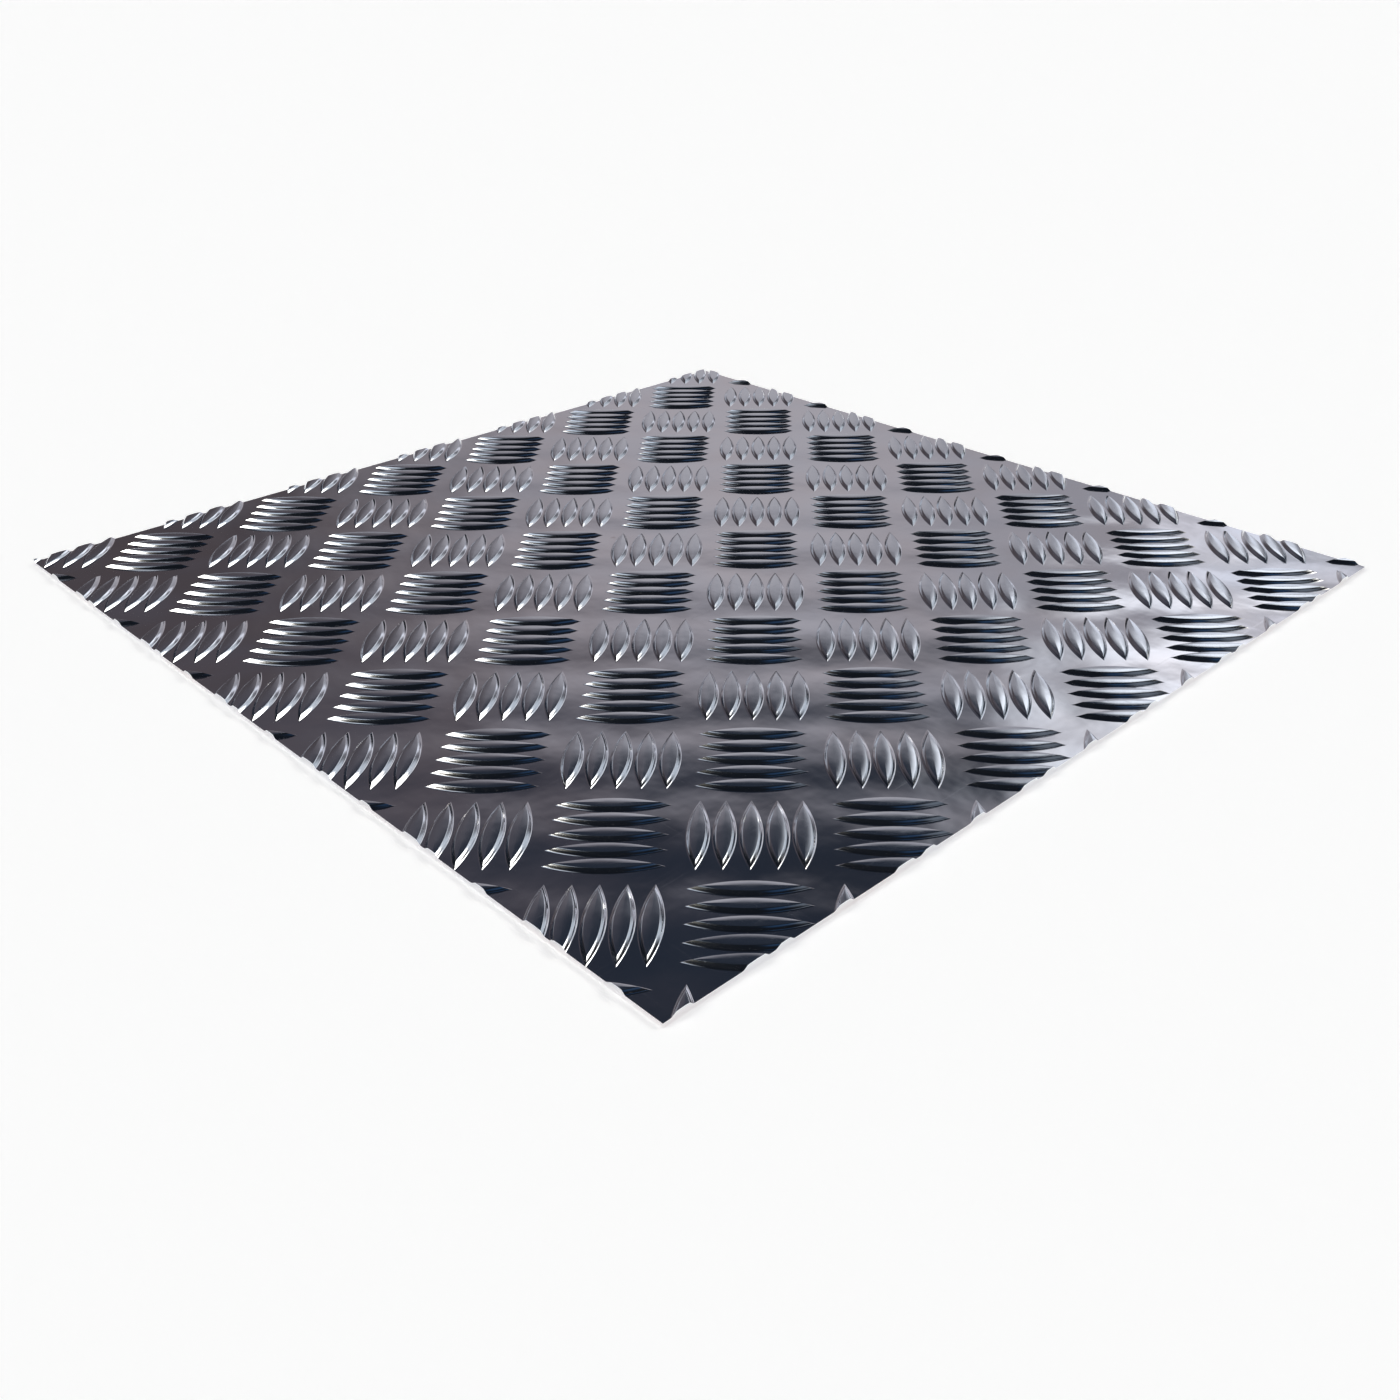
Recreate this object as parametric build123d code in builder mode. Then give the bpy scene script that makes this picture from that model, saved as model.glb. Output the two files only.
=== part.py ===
from build123d import *
import os
from math import atan, atan2, ceil, cos, degrees, radians, sin

# Aluminium checker plate: one rolled sheet, cut square, with a five-bar tread raised on its
# top face. Groups of bars lean one way and the other in turn, like a chessboard stood on its
# corner. Millimetres; the origin is under the middle of the sheet and Z points up.

# Sheet
sheet_width = 300.0
sheet_depth = 300.0
base_thickness = 1.2

# One tread bar: pointed at both ends in plan, with sloping flanks up to a flat crown
bar_length = 26.7
bar_width = 5.3
bar_height = 1.0
flank_width = 0.88
flats_per_curve = 4

# One group of bars, side by side
bars_in_group = 5
bar_gap = 0.74

# The roll's repeat: two sets of groups on one oblong grid, half a cell apart both ways
cell_width = 44.9
cell_depth = 46.7
first_group_x = 5.75
first_group_y = -23.6

# A bar tip that pokes less than this over an edge of the sheet is left off
least_stub = 1.0

# What follows from these sizes
bar_spacing = bar_width + bar_gap
flank_taper = degrees(atan(flank_width / bar_height))
diagonal_angle = degrees(atan2(cell_depth, cell_width))
reach_x = bar_length / 2 * cos(radians(diagonal_angle))
reach_y = bar_length / 2 * sin(radians(diagonal_angle))


def group_centres(start_x, start_y):
    """Centres of one set of groups, out to a cell past the sheet's edges."""
    columns = ceil((sheet_width / 2 + abs(start_x)) / cell_width) + 1
    rows = ceil((sheet_depth / 2 + abs(start_y)) / cell_depth) + 1
    for column in range(-columns, columns + 1):
        for row in range(-rows, rows + 1):
            yield start_x + column * cell_width, start_y + row * cell_depth


def bar_places(start_x, start_y, bar_angle, row_angle):
    """Where the bars of one set lie: they point along one diagonal of the grid's cell and
    stand side by side along the other."""
    for group_x, group_y in group_centres(start_x, start_y):
        for number in range(bars_in_group):
            offset = (number - (bars_in_group - 1) / 2) * bar_spacing
            x = group_x + offset * cos(radians(row_angle))
            y = group_y + offset * sin(radians(row_angle))
            yield Location((x, y, base_thickness), bar_angle)


def on_sheet(place):
    """True where the whole bar lies inside the sheet's edges."""
    x, y = abs(place.position.X), abs(place.position.Y)
    return x + reach_x <= sheet_width / 2 and y + reach_y <= sheet_depth / 2


def over_edge(place):
    """True where an edge of the sheet cuts through the bar."""
    x, y = abs(place.position.X), abs(place.position.Y)
    near = x - reach_x < sheet_width / 2 - least_stub and y - reach_y < sheet_depth / 2 - least_stub
    return near and not on_sheet(place)


# One whole tread bar: a shallow arc cut into flats, mirrored so that the ends meet in points
with BuildPart() as tread_bar:
    with BuildSketch():
        with BuildLine():
            curve = SagittaArc(
                (-bar_length / 2, 0), (bar_length / 2, 0), -bar_width / 2, mode=Mode.PRIVATE
            )
            Polyline(*[curve @ (n / flats_per_curve) for n in range(flats_per_curve + 1)])
            mirror(about=Plane.XZ)
        make_face()
    extrude(amount=bar_height, taper=flank_taper)

first_set = list(bar_places(first_group_x, first_group_y, diagonal_angle, -diagonal_angle))
second_set = list(
    bar_places(
        first_group_x + cell_width / 2,
        first_group_y + cell_depth / 2,
        -diagonal_angle,
        diagonal_angle,
    )
)
all_places = first_set + second_set

# The bars that the sheared edges cut through, cut off flush with them
with BuildPart() as edge_bars:
    with Locations(*filter(over_edge, all_places)):
        add(tread_bar.part)
    with BuildSketch():
        Rectangle(sheet_width, sheet_depth)
    extrude(amount=base_thickness + 2 * bar_height, mode=Mode.INTERSECT)

# The base sheet with all its bars
with BuildPart() as checker_plate:
    with BuildSketch():
        Rectangle(sheet_width, sheet_depth)
    extrude(amount=base_thickness)
    add(edge_bars.part)
    with Locations(*filter(on_sheet, all_places)):
        add(tread_bar.part)

checker_plate.part.label = "checker_plate"

os.makedirs("parts", exist_ok=True)
export_step(checker_plate.part, "parts/checker_plate.step")
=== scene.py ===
from math import atan2, ceil, cos, pi, radians, sin, sqrt, tan

import bmesh
import bpy
import numpy as np
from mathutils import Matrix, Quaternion, Vector
from mathutils.geometry import delaunay_2d_cdt


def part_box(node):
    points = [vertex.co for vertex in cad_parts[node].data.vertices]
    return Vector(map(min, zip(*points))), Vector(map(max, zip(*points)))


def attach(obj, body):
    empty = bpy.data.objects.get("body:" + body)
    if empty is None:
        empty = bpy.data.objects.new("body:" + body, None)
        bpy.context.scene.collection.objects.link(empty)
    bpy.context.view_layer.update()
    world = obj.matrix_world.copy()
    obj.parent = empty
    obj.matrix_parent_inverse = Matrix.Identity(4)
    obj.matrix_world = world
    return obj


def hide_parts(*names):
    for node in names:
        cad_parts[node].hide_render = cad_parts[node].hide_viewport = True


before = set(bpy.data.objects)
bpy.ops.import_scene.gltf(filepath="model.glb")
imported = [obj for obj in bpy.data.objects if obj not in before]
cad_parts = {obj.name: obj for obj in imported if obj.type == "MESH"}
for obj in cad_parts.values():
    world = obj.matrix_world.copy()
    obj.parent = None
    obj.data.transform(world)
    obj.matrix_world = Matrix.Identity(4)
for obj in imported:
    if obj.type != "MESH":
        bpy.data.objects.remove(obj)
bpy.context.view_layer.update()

# Aluminium checker plate, lying flat. Metres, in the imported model's frame: the origin is under
# the middle of the sheet. The whole top face is one surface, with every tread bar rolled out of
# it, cut to the sheet's four edges.

MM = 0.001

# Sheet, from the frame
HALF_WIDTH, HALF_DEPTH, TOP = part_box("checker_plate")[1]

# One tread bar: a pointed lens in plan, between two arcs
BAR_LENGTH = 26.7 * MM
BAR_WIDTH = 5.3 * MM
BAR_HEIGHT = 1.0 * MM
BAR_GAP = 0.74 * MM
BARS_IN_GROUP = 5

# The roll's repeat: two sets of groups on one oblong grid, half a cell apart both ways
CELL_WIDTH = 44.9 * MM
CELL_DEPTH = 46.7 * MM
FIRST_GROUP = Vector((5.75, -23.6)) * MM
LEAST_STUB = 1.0 * MM

# The slope across a bar, from its foot to its middle, against the distance inside the outline
FOOT_START = -0.22 * MM
FLANK_START = 0.22 * MM
FLANK_END = 0.8 * MM
SHOULDER_END = 0.92 * MM
CROWN_SLOPE = 0.13
FLANK_CURVE = 0.22
STEPS_ALONG = 12
FOOT_STEPS = 3
SHOULDER_STEPS = 2

# A corner's normal is read this share of the way to the middle of its face, so that the ridge
# at a bar's tip stays sharp
CORNER_PULL = 0.02

# How near, in metres, points count as one, as on a cut or a ridge, and as on a sheared edge
WELD = 1e-9
CUT = 1e-8
ON_EDGE = 1e-7

# A face whose normal rises less than this is a sheared edge or the underside
WALL_RISE = 0.05

# The finish's colours: the land varies between two, and the bars are a little cooler
LAND_WARM = (0.86, 0.825, 0.825, 1.0)
LAND_COOL = (0.83, 0.84, 0.87, 1.0)
BAR_TINT = (0.84, 0.87, 0.9, 1.0)
CLOUD_SCALE, CLOUD_DETAIL, CLOUD_RANGE = 28.0, 3.0, (0.35, 0.65)

# One small brown smudge on the land. The edge is where it fades, in its own sizes.
STAIN_TINT = (0.45, 0.36, 0.33, 1.0)
STAIN_PLACE = Vector((-34.1, -4.1, 0.0)) * MM
STAIN_SIZE = 2.6 * MM
STAIN_EDGE = (0.6, 1.2)
STAIN_STRENGTH = 0.8
STAIN_SCALE, STAIN_DETAIL = 700.0, 3.0

# The finish's roughness: a hazy bloom on the land, more on the bars, and hairline scratches
# that are drawn out along one side of the sheet or the other
LAND_ROUGHNESS = (0.05, 0.1)
BLOOM_SCALE, BLOOM_DETAIL, BLOOM_RANGE = 45.0, 6.0, (0.3, 0.7)
BAR_ROUGHNESS = 0.07
HAIRLINE_ROUGHNESS = 0.06
HAIRLINE_SCALE, HAIRLINE_DETAIL, HAIRLINE_RANGE = 1500.0, 1.0, (0.68, 0.76)
HAIRLINE_STRETCHES = ((1.0, 0.02, 1.0), (0.03, 1.0, 1.0))

# The rolled unevenness: a swell that repeats with the groups, long waves and short ripples
SWELL = 0.2 * MM
WAVE, WAVE_SCALE = 0.8 * MM, 24.0
RIPPLE, RIPPLE_SCALE = 0.08 * MM, 110.0
WAVE_DETAIL = 2.0
PHASE_X = -2 * pi * FIRST_GROUP.x / CELL_WIDTH
PHASE_Y = -2 * pi * FIRST_GROUP.y / CELL_DEPTH

# The camera, as it stood for the photograph
CAMERA_PLACE = Vector((0.30291, -0.28511, 0.18666))
CAMERA_AIM = Vector((0.06514, -0.05909, 0.0012))
CAMERA_ROLL = -0.38
LENS_MM = 36.59
SENSOR_MM = 36.0
CLIP_START, CLIP_END = 0.01, 100.0

# What follows from these sizes
BASE = TOP - BAR_HEIGHT
BAR_SPACING = BAR_WIDTH + BAR_GAP
ARC_RADIUS = ((BAR_LENGTH / 2) ** 2 + (BAR_WIDTH / 2) ** 2) / BAR_WIDTH
ARC_DROP = ARC_RADIUS - BAR_WIDTH / 2
DIAGONAL = atan2(CELL_DEPTH, CELL_WIDTH)
REACH_X = BAR_LENGTH / 2 * cos(DIAGONAL)
REACH_Y = BAR_LENGTH / 2 * sin(DIAGONAL)


def slope_knots():
    """Insets at which the slope across a bar changes its rate, and the slope there. The flank's
    slope is the one that brings the middle of the bar to its full height."""
    insets = np.array([FOOT_START, FLANK_START, FLANK_END, SHOULDER_END, BAR_WIDTH / 2])
    steepness = np.array([0.0, 1 + FLANK_CURVE, 1 - FLANK_CURVE, 0.0, 0.0])
    crown = np.array([0.0, 0.0, 0.0, CROWN_SLOPE, 0.0])
    flank_rise, crown_rise = (
        np.sum(np.diff(insets) * (part[1:] + part[:-1]) / 2) for part in (steepness, crown)
    )
    flank_slope = (BAR_HEIGHT - crown_rise) / flank_rise
    return insets, steepness * flank_slope + crown


def height_at(inset):
    """Height over the base of a point at that inset from the bar's outline."""
    insets, slopes = slope_knots()
    steps = np.diff(insets) * (slopes[1:] + slopes[:-1]) / 2
    heights = np.concatenate([[0.0], np.cumsum(steps)])
    inset = np.clip(inset, insets[0], insets[-1])
    knot = np.clip(np.searchsorted(insets, inset, side="right") - 1, 0, len(insets) - 2)
    local = np.interp(inset, insets, slopes)
    return heights[knot] + (inset - insets[knot]) * (slopes[knot] + local) / 2


def slope_at(inset):
    """Slope across the bar at that inset."""
    insets, slopes = slope_knots()
    return np.interp(inset, insets, slopes, left=0.0)


def inset_at(along, across):
    """How far inside the bar's outline a point in the bar's own frame lies."""
    return ARC_RADIUS - np.hypot(along, np.abs(across) + ARC_DROP)


def bar_rings():
    """Insets of the rings of points that carry a bar's surface, from its foot to its crown."""
    foot = np.linspace(FOOT_START, FLANK_START, FOOT_STEPS + 1)
    shoulder = np.linspace(FLANK_END, SHOULDER_END, SHOULDER_STEPS + 1)
    return np.concatenate([foot, shoulder])


def ring_points(inset):
    """One closed ring at that inset, in the bar's own frame, from its right tip round."""
    radius = ARC_RADIUS - inset
    tip = sqrt(radius**2 - ARC_DROP**2)
    turn = np.linspace(atan2(tip, ARC_DROP), -atan2(tip, ARC_DROP), STEPS_ALONG + 1)
    along = radius * np.sin(turn)
    across = radius * np.cos(turn) - ARC_DROP
    upper = np.column_stack([along, across])
    upper[[0, -1], 1] = 0.0
    lower = np.column_stack([along[-2:0:-1], -across[-2:0:-1]])
    return np.concatenate([upper, lower])


def one_bar():
    """Points, heights and faces of one bar. The first ring is its foot, on the flat land."""
    rings = [ring_points(inset) for inset in bar_rings()]
    size = len(rings[0])
    ridge = rings[-1][1:STEPS_ALONG].copy()
    ridge[:, 1] = 0.0
    points = np.concatenate(rings + [ridge])
    faces = []
    for ring in range(len(rings) - 1):
        for n in range(size):
            after = (n + 1) % size
            outer, inner = ring * size, (ring + 1) * size
            faces.append((outer + n, outer + after, inner + after, inner + n))
    top_ring, middle = (len(rings) - 1) * size, len(rings) * size
    for n in range(STEPS_ALONG):
        for side in (1, -1):
            a, b = top_ring + (side * n) % size, top_ring + (side * (n + 1)) % size
            corners = [b, a]
            if n > 0:
                corners.append(middle + n - 1)
            if n < STEPS_ALONG - 1:
                corners.append(middle + n)
            faces.append(tuple(corners[::-side]))
    return points, height_at(inset_at(points[:, 0], points[:, 1])), faces, size


def bar_places():
    """Centre and angle of every bar that lies on the sheet or is cut by its edges."""
    places = []
    half_cell = Vector((CELL_WIDTH, CELL_DEPTH)) / 2
    for start, lean in ((FIRST_GROUP, 1), (FIRST_GROUP + half_cell, -1)):
        columns = ceil((HALF_WIDTH + abs(start.x)) / CELL_WIDTH) + 1
        rows = ceil((HALF_DEPTH + abs(start.y)) / CELL_DEPTH) + 1
        for column in range(-columns, columns + 1):
            for row in range(-rows, rows + 1):
                for number in range(BARS_IN_GROUP):
                    offset = (number - (BARS_IN_GROUP - 1) / 2) * BAR_SPACING
                    x = start.x + column * CELL_WIDTH + offset * cos(DIAGONAL)
                    y = start.y + row * CELL_DEPTH - lean * offset * sin(DIAGONAL)
                    over_x = abs(x) - REACH_X < HALF_WIDTH - LEAST_STUB
                    over_y = abs(y) - REACH_Y < HALF_DEPTH - LEAST_STUB
                    if over_x and over_y:
                        places.append((x, y, lean * DIAGONAL))
    return places


def top_surface(places):
    """Points and faces of the rolled top face, a little larger than the sheet."""
    points, heights, faces, foot_size = one_bar()
    all_points, all_faces, foot = [], [], []
    for number, (x, y, angle) in enumerate(places):
        turn = np.array([[cos(angle), sin(angle)], [-sin(angle), cos(angle)]])
        flat = points @ turn + (x, y)
        start = number * len(points)
        all_points.append(np.column_stack([flat, heights + BASE]))
        all_faces += [tuple(start + n for n in face) for face in faces]
        foot += range(start, start + foot_size)
    all_points = np.concatenate(all_points)

    reach_x, reach_y = HALF_WIDTH + 2 * REACH_X, HALF_DEPTH + 2 * REACH_Y
    corners = [(-reach_x, -reach_y), (reach_x, -reach_y), (reach_x, reach_y), (-reach_x, reach_y)]
    land = [Vector(p) for p in all_points[foot, :2]] + [Vector(c) for c in corners]
    rims = []
    for start in range(0, len(foot), foot_size):
        rims += [(start + n, start + (n + 1) % foot_size) for n in range(foot_size)]
    _, _, land_faces, origins, _, _ = delaunay_2d_cdt(land, rims, [], 0, WELD)
    first_corner = len(all_points)
    all_points = np.concatenate([all_points, [(*c, BASE) for c in corners]])
    index = foot + [first_corner + n for n in range(len(corners))]
    for face in land_faces:
        ends = [origins[n][0] for n in face]
        owners = {n // foot_size if n < len(foot) else -1 for n in ends}
        if len(owners) > 1 or owners == {-1}:
            all_faces.append(tuple(index[n] for n in ends))
    return all_points, all_faces


def cut_to_sheet(mesh):
    """Cuts the surface off at the sheet's four edges."""
    for axis, half in (((1, 0, 0), HALF_WIDTH), ((0, 1, 0), HALF_DEPTH)):
        for side in (1, -1):
            normal = Vector(axis) * side
            bmesh.ops.bisect_plane(
                mesh,
                geom=mesh.verts[:] + mesh.edges[:] + mesh.faces[:],
                dist=CUT,
                plane_co=normal * half,
                plane_no=normal,
                clear_outer=True,
            )


def close_below(mesh):
    """Adds the four sheared edges and the flat underside."""
    corners = []
    for x, y in ((-1, -1), (1, -1), (1, 1), (-1, 1)):
        corners.append(mesh.verts.new((x * HALF_WIDTH, y * HALF_DEPTH, 0.0)))
    rim = [v for v in mesh.verts if v.is_boundary]
    mesh.faces.new(corners[::-1])
    for n in range(4):
        start, end = corners[n], corners[(n + 1) % 4]
        run = (end.co - start.co).normalized()
        out = Vector((run.y, -run.x, 0.0))
        reach = start.co.dot(out)
        on_side = [v for v in rim if abs(v.co.dot(out) - reach) < ON_EDGE]
        on_side.sort(key=lambda v: v.co.dot(run))
        mesh.faces.new([start, end] + on_side[::-1])


def surface_normals(points, places):
    """The true normal of the rolled top face at each point."""
    tilt = np.zeros((len(points), 2))
    reach = BAR_LENGTH / 2 - FOOT_START + BAR_WIDTH / 2
    for x, y, angle in places:
        near = np.hypot(points[:, 0] - x, points[:, 1] - y) < reach
        local = points[near, :2] - (x, y)
        along = local @ (cos(angle), sin(angle))
        across = local @ (-sin(angle), cos(angle))
        across[np.abs(across) < CUT] = 0.0
        inset = inset_at(along, across)
        centre = np.sign(across) * (np.abs(across) + ARC_DROP)
        slope = np.where(inset > FOOT_START, slope_at(inset), 0.0) / np.hypot(along, centre)
        tilt[near] += np.outer(slope * along, (cos(angle), sin(angle)))
        tilt[near] += np.outer(slope * centre, (-sin(angle), cos(angle)))
    normals = np.column_stack([tilt, np.ones(len(points))])
    return normals / np.linalg.norm(normals, axis=1, keepdims=True)


def build_plate():
    """The whole sheet as one closed mesh, with its true normals."""
    places = bar_places()
    points, faces = top_surface(places)
    mesh = bmesh.new()
    verts = [mesh.verts.new(p) for p in points]
    for face in faces:
        mesh.faces.new([verts[n] for n in face])
    cut_to_sheet(mesh)
    for v in [v for v in mesh.verts if not v.link_faces]:
        mesh.verts.remove(v)
    top_count = len(mesh.faces)
    close_below(mesh)
    mesh.faces.ensure_lookup_table()
    bmesh.ops.triangulate(mesh, faces=mesh.faces[top_count:], ngon_method="EAR_CLIP")
    mesh.normal_update()
    data = bpy.data.meshes.new("rolled_checker_plate")
    mesh.to_mesh(data)
    mesh.free()

    data.shade_smooth()
    points = np.array([vertex.co for vertex in data.vertices])
    ends = np.zeros((len(data.loops), 3))
    walls = {}
    for polygon in data.polygons:
        corners = slice(polygon.loop_start, polygon.loop_start + polygon.loop_total)
        around = points[list(polygon.vertices)]
        ends[corners] = around + CORNER_PULL * (around.mean(axis=0) - around)
        if polygon.normal.z < WALL_RISE:
            walls[polygon.index] = corners
    normals = surface_normals(ends, places)
    for index, corners in walls.items():
        normals[corners] = data.polygons[index].normal
    data.normals_split_custom_set(normals.tolist())
    plate = bpy.data.objects.new("rolled_checker_plate", data)
    bpy.context.scene.collection.objects.link(plate)
    return plate


class NodeMaker:
    """Adds nodes to a node tree. A value is a plain one or another node's output."""

    # The Mix node has sockets of the same names for each kind of data; these are its colours
    MIX_FIRST, MIX_SECOND, MIX_RESULT = 6, 7, 2

    def __init__(self, tree):
        self.nodes, self.links = tree.nodes, tree.links

    def put(self, socket, value):
        if isinstance(value, bpy.types.NodeSocket):
            self.links.new(value, socket)
        else:
            socket.default_value = value

    def math(self, operation, *values, kind="ShaderNodeMath", output="Value"):
        node = self.nodes.new(kind)
        node.operation = operation
        for socket, value in zip(node.inputs, values):
            self.put(socket, value)
        return node.outputs[output]

    def vector(self, operation, *values, output="Vector"):
        return self.math(operation, *values, kind="ShaderNodeVectorMath", output=output)

    def noise(self, place, scale, detail):
        node = self.nodes.new("ShaderNodeTexNoise")
        node.inputs["Scale"].default_value = scale
        node.inputs["Detail"].default_value = detail
        self.links.new(place, node.inputs["Vector"])
        return node.outputs["Fac"]

    def ramp(self, value, start, end, low=0.0, high=1.0, curve="LINEAR"):
        node = self.nodes.new("ShaderNodeMapRange")
        node.interpolation_type = curve
        names = ("From Min", "From Max", "To Min", "To Max")
        for name, number in zip(names, (start, end, low, high)):
            node.inputs[name].default_value = number
        self.links.new(value, node.inputs["Value"])
        return node.outputs["Result"]

    def mix(self, share, first, second):
        node = self.nodes.new("ShaderNodeMix")
        node.data_type = "RGBA"
        self.put(node.inputs["Factor"], share)
        self.put(node.inputs[self.MIX_FIRST], first)
        self.put(node.inputs[self.MIX_SECOND], second)
        return node.outputs[self.MIX_RESULT]


def new_material(name):
    """A material, with its shader and a maker for its other nodes."""
    material = bpy.data.materials.new(name)
    material.use_nodes = True
    tree = material.node_tree
    return material, tree.nodes["Principled BSDF"].inputs, NodeMaker(tree)


def mill_aluminium():
    """Bright rolled aluminium: a near mirror that the rolls left faintly uneven, a little browner
    on the land than on the bars, with a hazy bloom, hairline scratches and one smudge."""
    material, shader, make = new_material("mill_aluminium")
    shader["Metallic"].default_value = 1.0
    place = make.nodes.new("ShaderNodeTexCoord").outputs["Object"]
    axes = make.nodes.new("ShaderNodeSeparateXYZ")
    make.put(axes.inputs[0], place)
    on_bar = make.ramp(axes.outputs["Z"], BASE, TOP)

    # Colours of the land and the bars
    cloud = make.noise(place, CLOUD_SCALE, CLOUD_DETAIL)
    land = make.mix(make.ramp(cloud, *CLOUD_RANGE), LAND_WARM, LAND_COOL)
    clean = make.mix(on_bar, land, BAR_TINT)

    # The smudge, with a ragged edge
    apart = make.vector("DISTANCE", place, STAIN_PLACE, output="Value")
    grain = make.noise(place, STAIN_SCALE, STAIN_DETAIL)
    ragged = make.math("MULTIPLY_ADD", grain, STAIN_SIZE, apart)
    fade = [edge * STAIN_SIZE for edge in STAIN_EDGE]
    stain = make.ramp(ragged, *fade, low=STAIN_STRENGTH, high=0.0)
    make.put(shader["Base Color"], make.mix(stain, clean, STAIN_TINT))

    # Bloom, bars a little duller, and hairlines
    bloom = make.noise(place, BLOOM_SCALE, BLOOM_DETAIL)
    rough = make.ramp(bloom, *BLOOM_RANGE, *LAND_ROUGHNESS)
    rough = make.math("MULTIPLY_ADD", on_bar, BAR_ROUGHNESS, rough)
    for stretch in HAIRLINE_STRETCHES:
        drawn_out = make.vector("MULTIPLY", place, stretch)
        lines = make.noise(drawn_out, HAIRLINE_SCALE, HAIRLINE_DETAIL)
        hairline = make.ramp(lines, *HAIRLINE_RANGE)
        rough = make.math("MULTIPLY_ADD", hairline, HAIRLINE_ROUGHNESS, rough)
    make.put(shader["Roughness"], rough)

    # The land dips between the groups of bars, as the rolls left it, and the whole sheet waves
    turn_x = make.math("MULTIPLY_ADD", axes.outputs["X"], 2 * pi / CELL_WIDTH, PHASE_X)
    turn_y = make.math("MULTIPLY_ADD", axes.outputs["Y"], 2 * pi / CELL_DEPTH, PHASE_Y)
    swell = make.math("MULTIPLY", make.math("COSINE", turn_x), make.math("COSINE", turn_y))
    relief = make.math("MULTIPLY", swell, SWELL)
    for height, scale in ((WAVE, WAVE_SCALE), (RIPPLE, RIPPLE_SCALE)):
        uneven = make.noise(place, scale, WAVE_DETAIL)
        relief = make.math("MULTIPLY_ADD", uneven, height, relief)
    bump = make.nodes.new("ShaderNodeBump")
    bump.inputs["Strength"].default_value = 1.0
    bump.inputs["Distance"].default_value = 1.0
    make.put(bump.inputs["Height"], relief)
    make.put(shader["Normal"], bump.outputs["Normal"])
    return material


# The stage: a wide floor a hair under the sheet, and a dome behind it in nearly the same tone.
# The glow is what the studio's light leaves out of the floor's pale tone.
FLOOR_SIZE = 30.0
FLOOR_LEVEL = -0.00002
FLOOR_COLOUR = (0.92, 0.92, 0.92, 1.0)
FLOOR_GLOW = (0.363, 0.365, 0.374, 1.0)
DOME_RADIUS = 14.0
DOME_COLOUR = (0.965, 0.965, 0.965, 1.0)


def pale_floor():
    """A wide plain floor. It keeps the sheet's shadow, and its glow lights nothing: it is only
    for the rays that show the floor to the camera, or in a reflection."""
    bpy.ops.mesh.primitive_plane_add(size=FLOOR_SIZE, location=(0.0, 0.0, FLOOR_LEVEL))
    floor = bpy.context.object
    floor.name = "floor"
    material, shader, make = new_material("pale_floor")
    shader["Base Color"].default_value = FLOOR_COLOUR
    shader["Roughness"].default_value = 1.0
    shader["Specular IOR Level"].default_value = 0.0
    shader["Emission Color"].default_value = FLOOR_GLOW
    ray = make.nodes.new("ShaderNodeLightPath").outputs
    seen = make.math("MAXIMUM", ray["Is Camera Ray"], ray["Is Glossy Ray"])
    seen = make.math("MAXIMUM", seen, ray["Is Transmission Ray"])
    make.put(shader["Emission Strength"], seen)
    floor.data.materials.append(material)


def pale_backdrop():
    """A plain dome over the floor, which only the camera sees, so that low views end in the same
    pale tone as the floor and the plate still mirrors the studio."""
    bpy.ops.mesh.primitive_uv_sphere_add(segments=64, ring_count=32, radius=DOME_RADIUS)
    dome = bpy.context.object
    dome.name = "backdrop"
    material, shader, _ = new_material("pale_backdrop")
    shader["Base Color"].default_value = (0.0, 0.0, 0.0, 1.0)
    shader["Specular IOR Level"].default_value = 0.0
    shader["Emission Color"].default_value = DOME_COLOUR
    shader["Emission Strength"].default_value = 1.0
    dome.data.materials.append(material)
    dome.visible_diffuse = False
    dome.visible_glossy = False
    dome.visible_transmission = False
    dome.visible_shadow = False


# The studio round the plate: soft-edged panels of light on a nearly dark ground. Bearings are
# degrees to the right of the camera's line of sight, which is VIEW_TURN degrees left of +Y. A
# panel is its bearing and height, half its width and height, and the softness of its edges both
# ways, all in degrees, and then the colour of its light.
VIEW_TURN = 46.45
PANELS = {
    "far_wall": (10, 0, (20, 29.5), (11, 8), (0.29, 0.285, 0.32)),
    "far_glow": (2, 8, (9, 18), (7, 8), (0.11, 0.1, 0.1)),
    "upper_wall": (10, 45, (50, 14), (14, 8), (0.013, 0.017, 0.027)),
    "left_warm": (-26, 20, (19, 17), (8, 8), (0.065, 0.053, 0.057)),
    "left_low": (-26, 1, (15, 8), (6, 5), (0.3, 0.32, 0.37)),
    "window_band": (23, 14, (3, 9), (2, 3), (0.5, 0.53, 0.6)),
    "window_spot": (25, 32, (7, 6.5), (5, 3), (1.0, 1.04, 1.12)),
    "right_wall": (45, 24, (8, 24), (5, 8), (0.5, 0.55, 0.62)),
    "right_window": (71, 35, (18, 11), (4, 4), (5.0, 4.9, 4.6)),
    "right_glow": (120, 48, (8, 9), (5, 5), (0.12, 0.14, 0.17)),
    "left_lamp": (-100, 38, (15, 14), (3, 3), (5.4, 5.3, 5.0)),
    "lamp_glow": (-100, 38, (21, 20), (7, 7), (0.16, 0.15, 0.12)),
    "left_ceiling": (-80, 65, (16, 8), (6, 5), (0.7, 0.78, 0.9)),
    "blue_sky": (143, 58, (7, 6), (5, 5), (0.012, 0.035, 0.08)),
    "near_wall": (180, 3, (70, 15), (10, 4), (0.42, 0.43, 0.46)),
    "near_screen": (180, 26, (64, 7), (5, 3.5), (1.5, 1.5, 1.55)),
}
DARK = (0.006, 0.008, 0.012)
BEHIND = 0.001


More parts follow.
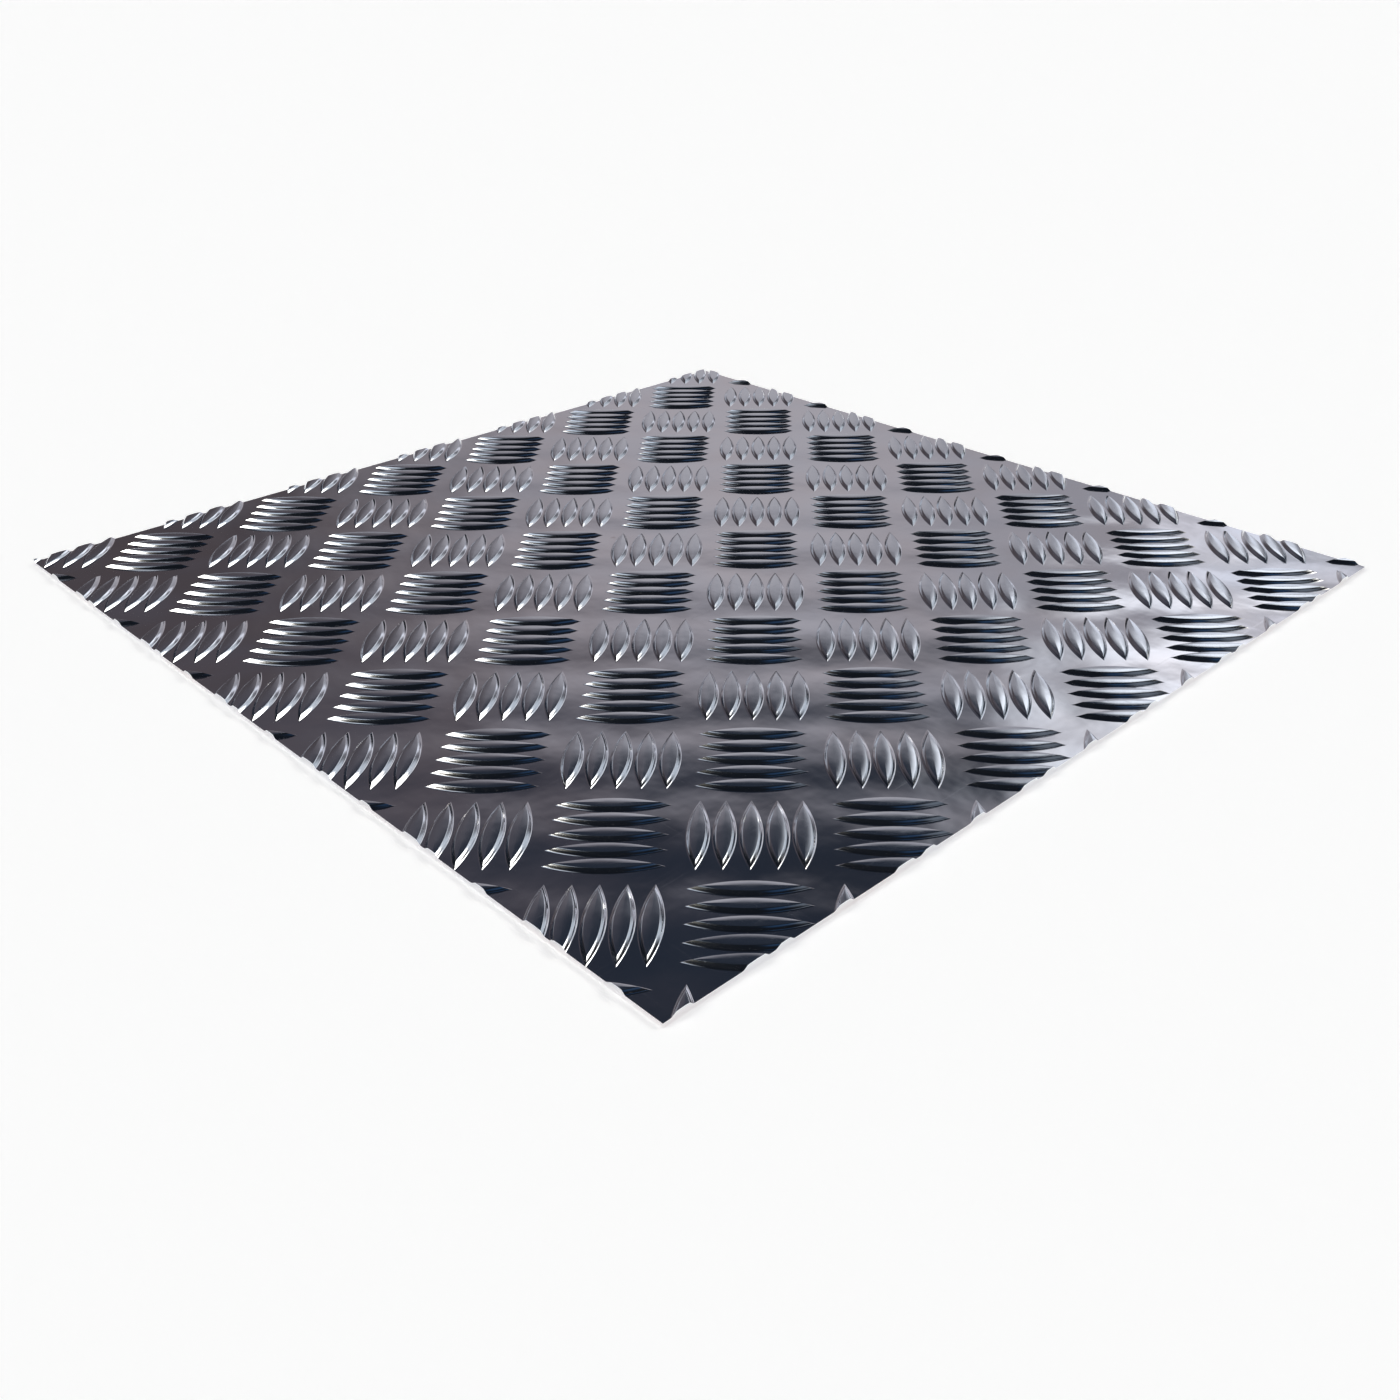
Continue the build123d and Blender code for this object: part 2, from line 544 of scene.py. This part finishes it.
def panel_axes(bearing, height):
    """Directions to a panel's middle, along it to the right and up it."""
    turn, rise = radians(VIEW_TURN - bearing), radians(height)
    level = Vector((-sin(turn), cos(turn), 0.0))
    front = level * cos(rise) + Vector((0.0, 0.0, sin(rise)))
    side = Vector((level.y, -level.x, 0.0))
    return front, side, side.cross(front)


def soft_studio():
    """The world: every panel's light, added up over the dark."""
    world = bpy.data.worlds.new("soft_studio")
    bpy.context.scene.world = world
    world.use_nodes = True
    make = NodeMaker(world.node_tree)
    ray = make.nodes.new("ShaderNodeTexCoord").outputs["Generated"]

    total = DARK
    for bearing, height, halves, softness, light in PANELS.values():
        front, side, rise = (
            make.vector("DOT_PRODUCT", ray, axis, output="Value")
            for axis in panel_axes(bearing, height)
        )
        ahead = make.math("MAXIMUM", front, BEHIND)
        inside = []
        for along, half, soft in zip((side, rise), halves, softness):
            away = make.math("ABSOLUTE", make.math("DIVIDE", along, ahead))
            outer, inner = tan(radians(half + soft)), tan(radians(half - soft))
            inside.append(make.ramp(away, outer, inner, curve="SMOOTHSTEP"))
        mask = make.math("MULTIPLY", *inside)
        total = make.vector("MULTIPLY_ADD", light, mask, total)
    make.put(make.nodes["Background"].inputs["Color"], total)


def stand_camera():
    """The camera, aimed and rolled as for the photograph."""
    camera = bpy.data.objects.new("camera", bpy.data.cameras.new("camera"))
    bpy.context.scene.collection.objects.link(camera)
    camera.data.lens = LENS_MM
    camera.data.sensor_width = SENSOR_MM
    camera.data.clip_start = CLIP_START
    camera.data.clip_end = CLIP_END
    camera.location = CAMERA_PLACE
    camera.rotation_mode = "QUATERNION"
    aim = (CAMERA_AIM - CAMERA_PLACE).to_track_quat("-Z", "Y")
    camera.rotation_quaternion = aim @ Quaternion((0.0, 0.0, 1.0), radians(CAMERA_ROLL))
    bpy.context.scene.camera = camera


plate = build_plate()
plate.data.materials.append(mill_aluminium())
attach(plate, "root")
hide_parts("checker_plate")

pale_floor()
pale_backdrop()
soft_studio()
stand_camera()
bpy.context.scene.view_settings.view_transform = "Standard"
